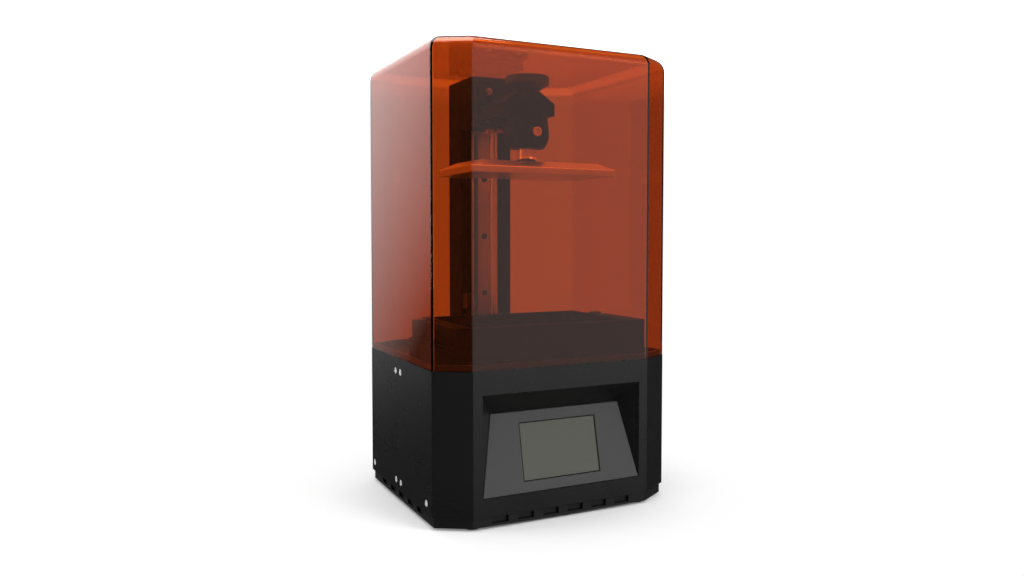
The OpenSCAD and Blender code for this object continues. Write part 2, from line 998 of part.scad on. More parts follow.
module usb_port() {
    color([0.7, 0.7, 0.72])
    union() {
        difference() {
            block(
                [usb_x - usb_w / 2, rear_y - usb_deep, usb_z - usb_h / 2],
                [usb_x + usb_w / 2, rear_y, usb_z + usb_h / 2]
            );
            block(
                [usb_x - usb_w / 2 + usb_wall, rear_y - usb_deep + 3, usb_z - usb_h / 2 + usb_wall],
                [usb_x + usb_w / 2 - usb_wall, rear_y + 1, usb_z + usb_h / 2 - usb_wall]
            );
        }
        block(
            [usb_x - usb_w / 2 + 1.6, rear_y - usb_deep + 1, usb_z + 0.3],
            [usb_x + usb_w / 2 - 1.6, rear_y - 1.5, usb_z + 2]
        );
    }
}

// ---------- z axis ----------

module column_bolts(r, low, high)
    for (x = [-column_w / 2 + post_w / 2, column_w / 2 - post_w / 2],
         y = [column_front + post_w / 2, column_back - post_w / 2])
        rod(r, x, y, low, high);

module z_base() {
    color([0.5, 0.5, 0.52])
    difference() {
        block([-z_base_w / 2, z_base_front, z_base_low], [z_base_w / 2, column_back, deck_low]);
        rod(screw_r + 3, 0, screw_y, z_base_low - 1, deck_low + 1);
        column_bolts(m4_r + pass_gap / 2, z_base_low - 1, deck_low + 1);
    }
}

module rail_bolt_heights()
    for (z = [rail_low + rail_first : rail_pitch : rail_top - 8])
        translate([0, 0, z])
            children();

// the tower's section: a channel at the front for the rail, and a hollow behind it
module column() {
    color([0.13, 0.13, 0.14])
    difference() {
        block([-column_w / 2, column_front, column_low], [column_w / 2, column_back, column_body_top]);
        block(
            [-column_w / 2 + post_w, column_front - 1, column_low - 1],
            [column_w / 2 - post_w, rail_back, column_body_top + 1]
        );
        block(
            [-column_w / 2 + post_w, rail_back + column_wall, column_low - 1],
            [column_w / 2 - post_w, column_back - column_wall, column_body_top + 1]
        );
        column_bolts(m4_r - 0.2, column_low - 1, column_body_top + 1);
        rail_bolt_heights()
            rod_y(m3_r, 0, rail_back - 1, rail_back + column_wall + 1, 0);
    }
}

module column_cap() {
    color([0.13, 0.13, 0.14])
    difference() {
        block([-column_w / 2, cap_reach, column_body_top], [column_w / 2, column_back, column_top]);
        rod(tip_r, 0, screw_y, column_body_top - 1, column_body_top + tip_len + 0.5);
        column_bolts(m4_r + pass_gap / 2, column_body_top - 1, column_top + 1);
        column_bolts(m4_head_r + touch_gap, column_top - m4_head_h, column_top + 1);
    }
}

// four down through the cap, four up through the tower's base and four into the motor
module tower_screws() {
    color([0.3, 0.3, 0.31])
    union() {
        difference() {
            column_bolts(m4_head_r, column_top - m4_head_h, column_top);
            for (x = [-column_w / 2 + post_w / 2, column_w / 2 - post_w / 2],
                 y = [column_front + post_w / 2, column_back - post_w / 2])
                translate([x, y, column_top - 2])
                    cylinder(r = 1.7, h = 3, $fn = 6);
        }
        column_bolts(m4_r - 0.2 - thread_gap, column_body_top - 8, column_top - m4_head_h);
        column_bolts(m4_r - 0.2 - thread_gap, z_base_low, column_low + 8);
        column_bolts(m4_head_r, z_base_low - m4_head_h, z_base_low);
        motor_bolts(m3_head_r, motor_top + bracket_t, motor_top + bracket_t + m3_head_h);
        motor_bolts(m3_r - thread_gap, motor_top - 4, motor_top + bracket_t);
    }
}

module linear_rail() {
    color([0.55, 0.55, 0.57])
    difference() {
        block([-rail_w / 2, rail_front, rail_low], [rail_w / 2, rail_back, rail_top]);
        for (side = [-1, 1])
            block(
                [side * rail_w / 2 - 1, rail_front + 2.4, rail_low - 1],
                [side * rail_w / 2 + 1, rail_front + 5, rail_top + 1]
            );
        rail_bolt_heights() {
            rod_y(m3_r + pass_gap / 2, 0, rail_front - 1, rail_back + 1, 0);
            rod_y(m3_head_r + touch_gap, 0, rail_front - 1, rail_front + 4, 0);
        }
    }
}

module rail_screws() {
    color([0.2, 0.2, 0.2])
    rail_bolt_heights() {
        rod_y(m3_head_r, 0, rail_front + 0.8, rail_front + 4, 0);
        rod_y(m3_r - thread_gap, 0, rail_front + 4, rail_back + column_wall, 0);
    }
}

module limit_switch() {
    color([0.1, 0.1, 0.1])
    difference() {
        block([flag_x - 5, column_front - 12, switch_top - 14], [flag_x + 5, column_front, switch_top]);
        block(
            [flag_x - 1.6, column_front - 13, switch_top - 9],
            [flag_x + 1.6, column_front - 3, switch_top + 1]
        );
    }
}

module motor_bolts(r, low, high)
    for (x = [-motor_bolt, motor_bolt], y = [-motor_bolt, motor_bolt])
        rod(r, x, screw_y + y, low, high);

module motor_bracket() {
    color([0.5, 0.5, 0.52])
    difference() {
        union() {
            block(
                [-bracket_half, z_base_front, motor_top],
                [bracket_half, bracket_back, motor_top + bracket_t]
            );
            both_sides()
                block(
                    [bracket_half - 2, z_base_front, motor_top],
                    [bracket_half, bracket_back, z_base_low]
                );
        }
        rod(11 + touch_gap, 0, screw_y, motor_top - 1, motor_top + bracket_t + 1);
        motor_bolts(m3_r + pass_gap / 2, motor_top - 1, motor_top + bracket_t + 1);
    }
}

module stepper_motor() {
    color([0.15, 0.15, 0.16])
    difference() {
        union() {
            intersection() {
                block(
                    [-motor_w / 2, screw_y - motor_w / 2, motor_top - motor_h],
                    [motor_w / 2, screw_y + motor_w / 2, motor_top]
                );
                translate([0, screw_y, motor_top - motor_h])
                    rotate([0, 0, 45])
                        translate([-motor_w * 0.64, -motor_w * 0.64, 0])
                            cube([motor_w * 1.28, motor_w * 1.28, motor_h]);
            }
            rod(11, 0, screw_y, motor_top, motor_top + 2);
        }
        rod(shaft_r + slide_gap, 0, screw_y, motor_top - 20, motor_top + 3);
        motor_bolts(m3_r, motor_top - 5, motor_top + 1);
    }
}

module motor_shaft() {
    color([0.75, 0.75, 0.77])
    rod(shaft_r, 0, screw_y, motor_top - 20 + touch_gap, shaft_top);
}

module shaft_coupler() {
    color([0.7, 0.7, 0.72])
    difference() {
        rod(coupler_r, 0, screw_y, coupler_low, coupler_low + coupler_len);
        rod(shaft_r, 0, screw_y, coupler_low - 1, coupler_low + coupler_len / 2);
        rod(screw_r, 0, screw_y, coupler_low + coupler_len / 2, coupler_low + coupler_len + 1);
    }
}

module lead_screw() {
    color([0.72, 0.72, 0.74])
    union() {
        rod(screw_r, 0, screw_y, coupler_low + coupler_len / 2 + 0.5, column_body_top - touch_gap);
        rod(tip_r - slide_gap, 0, screw_y, column_body_top - touch_gap, column_body_top + tip_len);
    }
}

// ---------- carriage and arm ----------

module rail_carriage() {
    color([0.6, 0.6, 0.62])
    difference() {
        block(
            [-block_w / 2, block_front, block_low],
            [block_w / 2, rail_back - 2.5, block_low + block_len]
        );
        block(
            [-rail_w / 2 - slide_gap, rail_front - slide_gap * 5, block_low - 1],
            [rail_w / 2 + slide_gap, rail_back + 1, block_low + block_len + 1]
        );
    }
}

module arm_bolt_places()
    for (x = [-arm_bolt_x, arm_bolt_x], z = [arm_bolt_low, arm_bolt_high])
        translate([x, 0, z])
            children();

module z_carriage() {
    color([0.13, 0.13, 0.14])
    difference() {
        union() {
            block(
                [-carriage_w / 2, carriage_front, carriage_low],
                [carriage_w / 2, block_front, carriage_top]
            );
            block(
                [flag_x - flag_t / 2, column_front - 11, carriage_low - 8],
                [flag_x + flag_t / 2, column_front - 4, carriage_low + 4]
            );
        }
        rod(nut_body_r + slide_gap, 0, screw_y, carriage_low - 1, carriage_top + 1);
        arm_bolt_places()
            rod_y(m4_r - 0.2, 0, carriage_front - 1, carriage_front + 8, 0);
    }
}

module lead_nut() {
    color([0.72, 0.58, 0.28])
    difference() {
        union() {
            rod(nut_flange_r, 0, screw_y, carriage_low - nut_flange_t, carriage_low);
            rod(nut_body_r, 0, screw_y, carriage_low - nut_flange_t, carriage_low + nut_len);
        }
        rod(screw_r + 0.05, 0, screw_y, carriage_low - nut_flange_t - 1, carriage_low + nut_len + 1);
    }
}

module arm_profile(low)
    polygon([
        [-arm_half_w, low], [arm_half_w, low], [arm_half_w, arm_low + arm_side_h],
        [arm_ridge, arm_top], [-arm_ridge, arm_top], [-arm_half_w, arm_low + arm_side_h]
    ]);

module platform_arm() {
    color([0.14, 0.14, 0.15])
    difference() {
        union() {
            translate([0, carriage_front - arm_flange, 0])
                rotate([90, 0, 0])
                    linear_extrude(carriage_front - arm_flange - optic_y + arm_nose)
                        arm_profile(arm_low);
            block(
                [-carriage_w / 2, carriage_front - arm_flange, carriage_low + 1],
                [carriage_w / 2, carriage_front, carriage_top - 1]
            );
        }
        block(
            [-arm_half_w + arm_wall, optic_y + housing_r + 3, arm_low - 1],
            [arm_half_w - arm_wall, carriage_front - arm_flange, arm_low + arm_side_h - arm_wall]
        );
        rod(stud_r + pass_gap, 0, optic_y, arm_low - 1, arm_top + 1);
        arm_bolt_places()
            rod_y(m4_r + pass_gap / 2, 0, carriage_front - arm_flange - 1, carriage_front + 1, 0);
    }
}

module arm_screws() {
    color([0.7, 0.7, 0.72])
    arm_bolt_places()
        difference() {
            union() {
                rod_y(m4_head_r, 0, carriage_front - arm_flange - m4_head_h, carriage_front - arm_flange, 0);
                rod_y(m4_r - 0.2 - thread_gap, 0, carriage_front - arm_flange, carriage_front + 7, 0);
            }
            translate([0, carriage_front - arm_flange - m4_head_h + 2.2, 0])
                rotate([90, 0, 0])
                    cylinder(r = 1.7, h = 3, $fn = 6);
        }
}

// ---------- platform ----------

// a barrel round the platform's axis, widest at the clamp screw
module barrel(low, high)
    intersection() {
        translate([0, optic_y, 0])
            rotate_extrude($fn = 96)
                polygon(concat(
                    [[0, housing_low], [0, arm_low], [housing_top_r, arm_low]],
                    [for (i = [0 : 6], a = i * asin(housing_belly / housing_r) / 6) [
                        housing_r * cos(a), housing_low + housing_belly - housing_r * sin(a)
                    ]]
                ));
        block([-arm_half_w, optic_y - arm_half_w, low], [arm_half_w, optic_y + arm_half_w, high]);
    }

module ball_seat()
    translate([0, optic_y, ball_z])
        sphere(r = ball_r + ball_gap, $fn = round_fn);

module ball_housing() {
    color([0.14, 0.14, 0.15])
    difference() {
        barrel(retainer_top, arm_low);
        ball_seat();
        rod(stud_r, 0, optic_y, stud_low - 1, arm_low + 1);
        rod_y(clamp_r, 0, optic_y - housing_r - 1, optic_y - ball_r + 2, clamp_z);
        rod_y(clamp_head_r + touch_gap, 0, optic_y - housing_r - 1, clamp_seat, clamp_z);
    }
}

module ball_retainer() {
    color([0.14, 0.14, 0.15])
    difference() {
        barrel(housing_low, retainer_top);
        ball_seat();
        rod(mouth_r, 0, optic_y, housing_low - 1, ball_z - mouth_h);
    }
}

module platform_knob() {
    color([0.08, 0.08, 0.08])
    translate([0, optic_y, 0])
        rotate_extrude($fn = 96)
            polygon([
                [0, stud_low], [stud_r - thread_gap, stud_low], [stud_r - thread_gap, arm_top + knob_gap],
                [knob_neck_r, arm_top + knob_gap], [knob_cone_r, arm_top + knob_gap + 1],
                [knob_r, knob_low], [knob_r, knob_top - knob_edge], [knob_r - knob_edge, knob_top],
                [0, knob_top]
            ]);
}

module clamp_screw() {
    color([0.75, 0.75, 0.77])
    difference() {
        union() {
            rod_y(clamp_head_r, 0, clamp_seat - clamp_head_h, clamp_seat, clamp_z);
            rod_y(clamp_r - thread_gap, 0, clamp_seat, optic_y - ball_r - ball_gap, clamp_z);
        }
        translate([0, clamp_seat - clamp_head_h + 2.6, clamp_z])
            rotate([90, 0, 0])
                cylinder(r = 2.6, h = 4, $fn = 6);
    }
}

module levelling_ball() {
    color([0.7, 0.7, 0.72])
    translate([0, optic_y, ball_z])
        sphere(r = ball_r, $fn = round_fn);
}

module platform_stem() {
    color([0.72, 0.72, 0.74])
    difference() {
        translate([0, optic_y, 0])
            rotate_extrude($fn = 64)
                polygon(concat(
                    [[0, ball_z - mouth_h], [0, stem_low], [stem_r + stem_flare, stem_low]],
                    [for (a = [0 : 15 : 90]) [
                        stem_r + stem_flare - stem_flare * sin(a),
                        stem_low + 1 + stem_flare - stem_flare * cos(a)
                    ]],
                    [[stem_r, ball_z - mouth_h]]
                ));
        translate([0, optic_y, ball_z])
            sphere(r = ball_r + ball_gap, $fn = round_fn);
    }
}

module build_plate() {
    color([0.5, 0.5, 0.52])
    intersection() {
        translate([0, optic_y + plate_d / 2, 0])
            rotate([90, 0, 0])
                linear_extrude(plate_d)
                    polygon([
                        [-plate_w / 2, plate_low], [plate_w / 2, plate_low],
                        [plate_w / 2, plate_low + plate_edge],
                        [plate_w / 2 - plate_slope, stem_low], [-plate_w / 2 + plate_slope, stem_low],
                        [-plate_w / 2, plate_low + plate_edge]
                    ]);
        translate([-plate_w / 2, optic_y, 0])
            rotate([90, 0, 90])
                linear_extrude(plate_w)
                    polygon([
                        [-plate_d / 2, plate_low], [plate_d / 2, plate_low],
                        [plate_d / 2, plate_low + plate_edge],
                        [plate_d / 2 - plate_slope, stem_low], [-plate_d / 2 + plate_slope, stem_low],
                        [-plate_d / 2, plate_low + plate_edge]
                    ]);
    }
}

// ---------- vat ----------

module vat_body() {
    color([0.2, 0.17, 0.16])
    difference() {
        union() {
            block([-vat_w / 2, vat_front, vat_low], [vat_w / 2, vat_back, ledge_top]);
            block([-tub_w / 2, vat_front, vat_low], [tub_w / 2, vat_back, vat_top]);
            block([-vat_w / 2, vat_front, vat_low], [vat_w / 2, grip_front, vat_top]);
            block([-vat_w / 2, vat_front, vat_top - grip_t], [vat_w / 2, grip_back, vat_top]);
            both_sides()
                rod(ear_r, ear_x, ear_y, vat_low, ear_top);
        }
        block(
            [-well_w / 2, vat_front + vat_wall, vat_low - 1],
            [well_w / 2, vat_back - vat_wall, vat_top + 1]
        );
        both_sides()
            rod(vat_stud_r + touch_gap, ear_x, ear_y, vat_low - 1, ear_top + 1);
        film_screw_bores(film_screw_r, vat_low - 1, vat_low + 9);
    }
}

module vat_film() {
    color([0.8, 0.8, 0.8])
    difference() {
        around_optic(frame_out_w, frame_out_d, vat_low - film_t, vat_low);
        film_screw_bores(film_screw_r + pass_gap / 2, vat_low - 1, vat_low + 1);
    }
}

// the film's screws run along both ends of the frame
module film_screw_bores(r, low, high)
    for (x = [-film_screw_x, film_screw_x], y = [-2 : 2])
        rod(r, x, optic_y + y * film_screw_pitch, low, high);

module film_frame() {
    color([0.6, 0.6, 0.62])
    difference() {
        around_optic(frame_out_w, frame_out_d, deck_top, vat_low - film_t);
        around_optic(frame_in_w, frame_in_d, deck_top - 1, vat_low);
        film_screw_bores(film_screw_r + pass_gap / 2, deck_top - 1, vat_low);
        film_screw_bores(film_head_r + touch_gap, deck_top - 1, deck_top + film_head_h);
    }
}

module film_screws() {
    color([0.7, 0.7, 0.72])
    union() {
        film_screw_bores(film_head_r, deck_top + 0.2, deck_top + film_head_h);
        film_screw_bores(film_screw_r - thread_gap, deck_top + film_head_h, vat_low + 8);
    }
}

// a captive thumbscrew that holds one ear of the vat down on the deck
module vat_knob(x) {
    union() {
        rod(vat_knob_r, x, ear_y, ear_top + touch_gap, ear_top + touch_gap + vat_knob_h);
        rod(vat_stud_r, x, ear_y, vat_stud_low, ear_top + touch_gap);
    }
}

module vat_knob_left() {
    color([0.1, 0.1, 0.1])
    vat_knob(-ear_x);
}

module vat_knob_right() {
    color([0.1, 0.1, 0.1])
    vat_knob(ear_x);
}

// ---------- cover ----------

// the rounded prism of the cover, set in by "inset" and topped out at "top"
module cover_form(inset, low, top, fillet)
    hull() {
        slab(inset, low, low + 1);
        for (a = [0 : 15 : 90])
            translate([0, 0, top - fillet + fillet * sin(a) - 0.01])
                linear_extrude(0.01)
                    polygon(outline(inset + fillet - fillet * cos(a)));
    }

module cover() {
    color([0.8, 0.3, 0.1, 0.5])
    difference() {
        cover_form(0, base_top, overall_h, cover_fillet);
        cover_form(cover_wall, base_top - 2, overall_h - cover_wall, cover_fillet - cover_wall);
    }
}

bottom_tray();
plinth();
rubber_feet();
front_shell();
rear_shell();
case_screws();
deck_plate();
deck_screws();
cover_seat();
panel_bezel();
touch_screen();
lcd_frame();
lcd_panel();
lcd_glass();
light_shroud();
uv_led_board();
uv_leds();
heat_sink();
standoffs();
circuit_boards();
board_parts();
fan_frame();
fan_rotor();
fan_guard();
power_inlet();
inlet_pin();
switch_housing();
power_rocker();
usb_port();
z_base();
column();
column_cap();
tower_screws();
linear_rail();
rail_screws();
limit_switch();
motor_bracket();
stepper_motor();
motor_shaft();
shaft_coupler();
lead_screw();
rail_carriage();
z_carriage();
lead_nut();
platform_arm();
arm_screws();
ball_housing();
ball_retainer();
clamp_screw();
platform_knob();
levelling_ball();
platform_stem();
build_plate();
vat_body();
vat_film();
film_frame();
film_screws();
vat_knob_left();
vat_knob_right();
cover();
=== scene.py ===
import json
import math

import bmesh
import bpy
from bpy.props import FloatProperty, FloatVectorProperty, IntProperty, PointerProperty
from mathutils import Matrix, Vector


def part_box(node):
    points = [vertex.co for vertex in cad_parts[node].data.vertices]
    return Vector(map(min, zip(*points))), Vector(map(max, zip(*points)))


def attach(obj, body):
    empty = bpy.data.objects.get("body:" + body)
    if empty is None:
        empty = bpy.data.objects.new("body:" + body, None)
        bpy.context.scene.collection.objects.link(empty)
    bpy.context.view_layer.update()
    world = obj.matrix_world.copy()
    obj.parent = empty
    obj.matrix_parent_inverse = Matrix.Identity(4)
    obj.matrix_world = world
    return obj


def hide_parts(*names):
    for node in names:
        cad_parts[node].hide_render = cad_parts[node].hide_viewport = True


bl_info = {
    "name": "Resin printer",
    "version": (1, 0, 0),
    "blender": (4, 5, 0),
    "location": "View3D > Sidebar > Resin printer",
    "description": "Finishes every piece of a desktop resin printer around its construction model",
    "category": "Add Mesh",
}

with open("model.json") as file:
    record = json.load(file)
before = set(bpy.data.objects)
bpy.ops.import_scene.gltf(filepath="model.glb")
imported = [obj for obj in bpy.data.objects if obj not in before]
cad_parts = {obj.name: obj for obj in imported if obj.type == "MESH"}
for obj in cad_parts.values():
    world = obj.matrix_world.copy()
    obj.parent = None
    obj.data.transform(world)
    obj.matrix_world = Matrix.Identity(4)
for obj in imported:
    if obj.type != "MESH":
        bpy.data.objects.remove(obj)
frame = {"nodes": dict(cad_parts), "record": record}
NODES = frame["nodes"]
BODY_OF = {node: body for body, nodes in frame["record"]["behaviour"]["bodies"].items() for node in nodes}
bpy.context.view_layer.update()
MM = 0.001


def linear(code):
    """The linear colour of an sRGB hex code such as #1a2b3c."""
    parts = [int(code[i:i + 2], 16) / 255 for i in (1, 3, 5)]
    return [p / 12.92 if p <= 0.04045 else ((p + 0.055) / 1.055) ** 2.4 for p in parts]


# ---------- what a user may change ----------


class PrinterSizes(bpy.types.PropertyGroup):
    cover_wall: FloatProperty(
        name="Cover wall", description="Thickness of the acrylic cover",
        default=3 * MM, min=1 * MM, subtype="DISTANCE", unit="LENGTH",
    )
    cover_cut_x: FloatProperty(
        name="Corner cut along the front", description="How far each cut corner reaches along the front",
        default=29.5 * MM, subtype="DISTANCE", unit="LENGTH",
    )
    cover_cut_y: FloatProperty(
        name="Corner cut along the side", description="How far each cut corner reaches along the side",
        default=17.5 * MM, subtype="DISTANCE", unit="LENGTH",
    )
    roof_round: FloatProperty(
        name="Roof rounding", description="Radius of the cover's edge round the roof",
        default=12 * MM, subtype="DISTANCE", unit="LENGTH",
    )
    mitre_round: FloatProperty(
        name="Upright edge rounding", description="Radius of the cover's upright edges",
        default=1.2 * MM, subtype="DISTANCE", unit="LENGTH",
    )
    shell_round: FloatProperty(
        name="Shell edge rounding", description="Radius on the edges of the moulded shells",
        default=0.7 * MM, subtype="DISTANCE", unit="LENGTH",
    )
    machined_round: FloatProperty(
        name="Machined edge break", description="Width of the broken edge on milled parts",
        default=0.5 * MM, subtype="DISTANCE", unit="LENGTH",
    )
    thread_pitch: FloatProperty(
        name="Thread pitch", description="Distance between two threads of the lead screw",
        default=2 * MM, subtype="DISTANCE", unit="LENGTH",
    )
    thread_starts: IntProperty(
        name="Thread starts", description="How many threads run side by side on the lead screw",
        default=4, min=1,
    )


class PrinterColours(bpy.types.PropertyGroup):
    amber: FloatVectorProperty(
        name="Amber", description="What the cover lets through", subtype="COLOR", size=3,
        default=linear("#c57a45"), min=0, max=1,
    )
    shell_black: FloatVectorProperty(
        name="Shell black", description="Moulded base and plinth", subtype="COLOR", size=3,
        default=linear("#161616"), min=0, max=1,
    )
    panel_grey: FloatVectorProperty(
        name="Panel grey", description="Tilted front panel", subtype="COLOR", size=3,
        default=linear("#434343"), min=0, max=1,
    )
    screen_grey: FloatVectorProperty(
        name="Screen grey", description="Touch screen when it is off", subtype="COLOR", size=3,
        default=linear("#52534b"), min=0, max=1,
    )
    anodised_black: FloatVectorProperty(
        name="Anodised black", description="Tower, arm and vat", subtype="COLOR", size=3,
        default=linear("#101011"), min=0, max=1,
    )
    steel: FloatVectorProperty(
        name="Steel", description="Rail, screws and shafts", subtype="COLOR", size=3,
        default=linear("#bfc0c2"), min=0, max=1,
    )
    aluminium: FloatVectorProperty(
        name="Aluminium", description="Build plate, neck and frames", subtype="COLOR", size=3,
        default=linear("#eeeff1"), min=0, max=1,
    )
    brass: FloatVectorProperty(
        name="Brass", description="Lead nut and standoffs", subtype="COLOR", size=3,
        default=linear("#c9a24e"), min=0, max=1,
    )


class PrinterSettings(bpy.types.PropertyGroup):
    sizes: PointerProperty(type=PrinterSizes)
    colours: PointerProperty(type=PrinterColours)


def sizes():
    return bpy.context.scene.resin_printer.sizes


def colours():
    return bpy.context.scene.resin_printer.colours


# ---------- shaders ----------


def add(tree, kind, inputs=None, **settings):
    """Adds one node, with its settings, and sets or links its inputs. Returns the node."""
    node = tree.nodes.new(kind)
    for name, value in settings.items():
        setattr(node, name, value)
    for name, value in (inputs or {}).items():
        if isinstance(value, bpy.types.NodeSocket):
            tree.links.new(value, node.inputs[name])
        else:
            node.inputs[name].default_value = value
    return node


def rgba(colour, gain=1.0):
    return (*(min(c * gain, 1.0) for c in colour), 1.0)


def new_material(name):
    """An empty node material and its tree and output."""
    material = bpy.data.materials.new(name)
    material.use_nodes = True
    tree = material.node_tree
    tree.nodes.clear()
    output = add(tree, "ShaderNodeOutputMaterial")
    return material, tree, output


def noise(tree, place, feature, detail=2.0, stretch=(1, 1, 1)):
    """Noise whose features are about one feature wide, in metres, longer where stretch is small."""
    spread = add(tree, "ShaderNodeMapping", {"Vector": place, "Scale": [s / feature for s in stretch]})
    return add(
        tree, "ShaderNodeTexNoise", {"Vector": spread.outputs[0], "Scale": 1.0, "Detail": detail},
    ).outputs[0]


NOISE_SPAN = {"From Min": 0.3, "From Max": 0.7}  # where nearly all of a noise lies


def surface(name, colour, roughness, grain, depth, *, metallic=0.0, mottle=0.04, spread=0.06,
            patch=30 * MM, stretch=(1, 1, 1), coat=0.0, coat_roughness=0.1, specular=0.5):
    """A solid finish: a base colour that varies a little over patches, roughness that varies with it,
    and a bump for the grain."""
    material, tree, output = new_material(name)
    place = add(tree, "ShaderNodeTexCoord").outputs["Object"]
    patches = noise(tree, place, patch, 3.0)
    grains = noise(tree, place, grain, 2.0, stretch)
    tint_share, rough = (
        add(
            tree, "ShaderNodeMapRange", {"Value": patches, **NOISE_SPAN, "To Min": low, "To Max": high},
        ).outputs[0]
        for low, high in ((0, 1), (roughness - spread / 2, roughness + spread / 2))
    )
    # a Mix node's colour sockets share their names with its number sockets, so they go by place
    tint = add(
        tree, "ShaderNodeMix",
        {0: tint_share, 6: rgba(colour, 1 - mottle), 7: rgba(colour, 1 + mottle)}, data_type="RGBA",
    )
    bump = add(tree, "ShaderNodeBump", {"Strength": 1.0, "Distance": depth, "Height": grains})
    shader = add(
        tree, "ShaderNodeBsdfPrincipled",
        {
            "Base Color": tint.outputs[2], "Metallic": metallic, "Roughness": rough,
            "Normal": bump.outputs[0], "Specular IOR Level": specular,
            "Coat Weight": coat, "Coat Roughness": coat_roughness,
        },
    )
    tree.links.new(shader.outputs[0], output.inputs["Surface"])
    return material


def spark_eroded_abs():
    # ABS moulded in a spark-eroded tool: a fine even grain that softens every highlight.
    # The real grain is 0.1 mm; it is drawn at 0.9 mm, as coarse as it needs to show.
    return surface("spark_eroded_abs", colours().shell_black, 0.28, 0.9 * MM, 0.005 * MM, patch=60 * MM)


def plinth_abs():
    # the same ABS, duller, because the plinth's tool is not polished
    return surface("plinth_abs", colours().shell_black, 0.5, 1.1 * MM, 0.02 * MM, patch=25 * MM)


def panel_abs():
    # ABS with a semi-gloss moulded face, lighter than the shells round it
    return surface("panel_abs", colours().panel_grey, 0.33, 0.7 * MM, 0.006 * MM, patch=40 * MM, mottle=0.02)


def polished_abs():
    # knob and rocker, moulded in a polished tool
    return surface("polished_abs", linear("#141414"), 0.22, 2 * MM, 0.004 * MM, patch=15 * MM)


def anodised_aluminium():
    # bead-blasted and black-anodised aluminium: a dense even grain that swallows most highlights.
    # The real grain is 0.05 mm and is drawn at 0.8 mm.
    return surface(
        "black_anodised_aluminium", colours().anodised_black, 0.5, 0.8 * MM, 0.002 * MM,
        patch=35 * MM, specular=0.05,
    )


def milled_aluminium():
    # face-milled aluminium: a satin metal with long faint cutter marks
    return surface(
        "milled_aluminium", colours().aluminium, 0.34, 1.2 * MM, 0.01 * MM,
        metallic=1.0, patch=30 * MM, stretch=(0.12, 1, 1), spread=0.1,
    )


def turned_aluminium():
    # the lathe-turned neck of the platform: rings that follow its height
    return surface(
        "turned_aluminium", colours().aluminium, 0.22, 1.0 * MM, 0.01 * MM,
        metallic=1.0, patch=12 * MM, stretch=(0.1, 0.1, 1),
    )


def ground_steel():
    # ground bearing steel: a soft sheen, with its grain along the tower
    return surface(
        "ground_steel", colours().steel, 0.4, 0.6 * MM, 0.006 * MM,
        metallic=1.0, patch=25 * MM, stretch=(1, 1, 0.05),
    )


def zinc_steel():
    # zinc-plated steel: bright, slightly cloudy crystals
    return surface(
        "zinc_plated_steel", colours().steel, 0.3, 1.5 * MM, 0.01 * MM,
        metallic=1.0, patch=6 * MM, mottle=0.1, spread=0.14,
    )


def zinc_with_painted_glint():
    # zinc plating under a pale passivation: bright and cloudy. Its near-white colour is partly the zinc's own
    # and partly a painted highlight, so the screw heads show white glints under any lamp
    return surface(
        "zinc_with_painted_glint", linear("#f2f2ef"), 0.45, 1.5 * MM, 0.01 * MM,
        metallic=0.35, patch=6 * MM, mottle=0.05,
    )


def rolled_steel():
    # a thread rolled in bright steel: two bright streaks along its height, brighter than the rail
    return surface(
        "rolled_steel", linear("#e6e6e8"), 0.25, 0.6 * MM, 0.006 * MM,
        metallic=1.0, patch=25 * MM, stretch=(1, 1, 0.05),
    )


def black_oxide_steel():
    # socket screws with a black oxide skin
    return surface(
        "black_oxide_steel", linear("#2a2a2c"), 0.32, 0.8 * MM, 0.006 * MM, metallic=0.8, patch=5 * MM,
    )


def powder_coat():
    # black powder coat on folded sheet steel: a pebbled orange-peel skin about 1 mm across
    return surface("black_powder_coat", linear("#1b1b1c"), 0.42, 1.2 * MM, 0.03 * MM, patch=30 * MM)


def turned_brass():
    # free-cutting brass straight from the lathe
    return surface(
        "turned_brass", colours().brass, 0.25, 0.8 * MM, 0.006 * MM,
        metallic=1.0, patch=8 * MM, stretch=(0.15, 0.15, 1),
    )


def foot_rubber():
    # soft black rubber, matt and a little dusty
    return surface("black_rubber", linear("#191919"), 0.8, 0.8 * MM, 0.02 * MM, patch=6 * MM, mottle=0.12)


def laminated_steel():
    # the motor's painted stack of laminations, 0.5 mm each, drawn at 1 mm
    return surface(
        "laminated_steel", linear("#232324"), 0.45, 1.0 * MM, 0.03 * MM,
        metallic=0.3, patch=20 * MM, stretch=(0.02, 0.02, 1),
    )


def solder_mask():
    # green solder mask over copper: glossy, with cloudy depth
    return surface("solder_mask", linear("#12492c"), 0.3, 2.2 * MM, 0.02 * MM, patch=9 * MM, mottle=0.25)


def chip_epoxy():
    # black epoxy of chips and sockets
    return surface("chip_epoxy", linear("#1a1a1b"), 0.5, 0.7 * MM, 0.01 * MM, patch=4 * MM)


def white_lacquer():
    # white reflective lacquer on the aluminium lamp board
    return surface("white_lacquer", linear("#dcdcdb"), 0.35, 1.0 * MM, 0.005 * MM, patch=12 * MM, mottle=0.02)


def lamp_silicone():
    # clear silicone lenses over the lamps
    return surface("lamp_silicone", linear("#cfcbe8"), 0.12, 1.5 * MM, 0.003 * MM, patch=4 * MM, coat=0.5)


def display_film():
    # polarising film over the dark display cell
    return surface("display_film", linear("#101115"), 0.2, 3.0 * MM, 0.002 * MM, patch=40 * MM, coat=0.4)


def display_glass():
    # hard-coated glass over the display, with a dark window under it
    return surface("display_glass", linear("#15171a"), 0.06, 6.0 * MM, 0.001 * MM, patch=50 * MM, coat=0.6)


def screen_glass():
    # resistive touch film over an unlit display: a grey-green sheen with soft gloss
    return surface(
        "touch_film", colours().screen_grey, 0.28, 0.8 * MM, 0.003 * MM,
        patch=45 * MM, mottle=0.01, spread=0.01, coat=0.25, coat_roughness=0.12,
    )


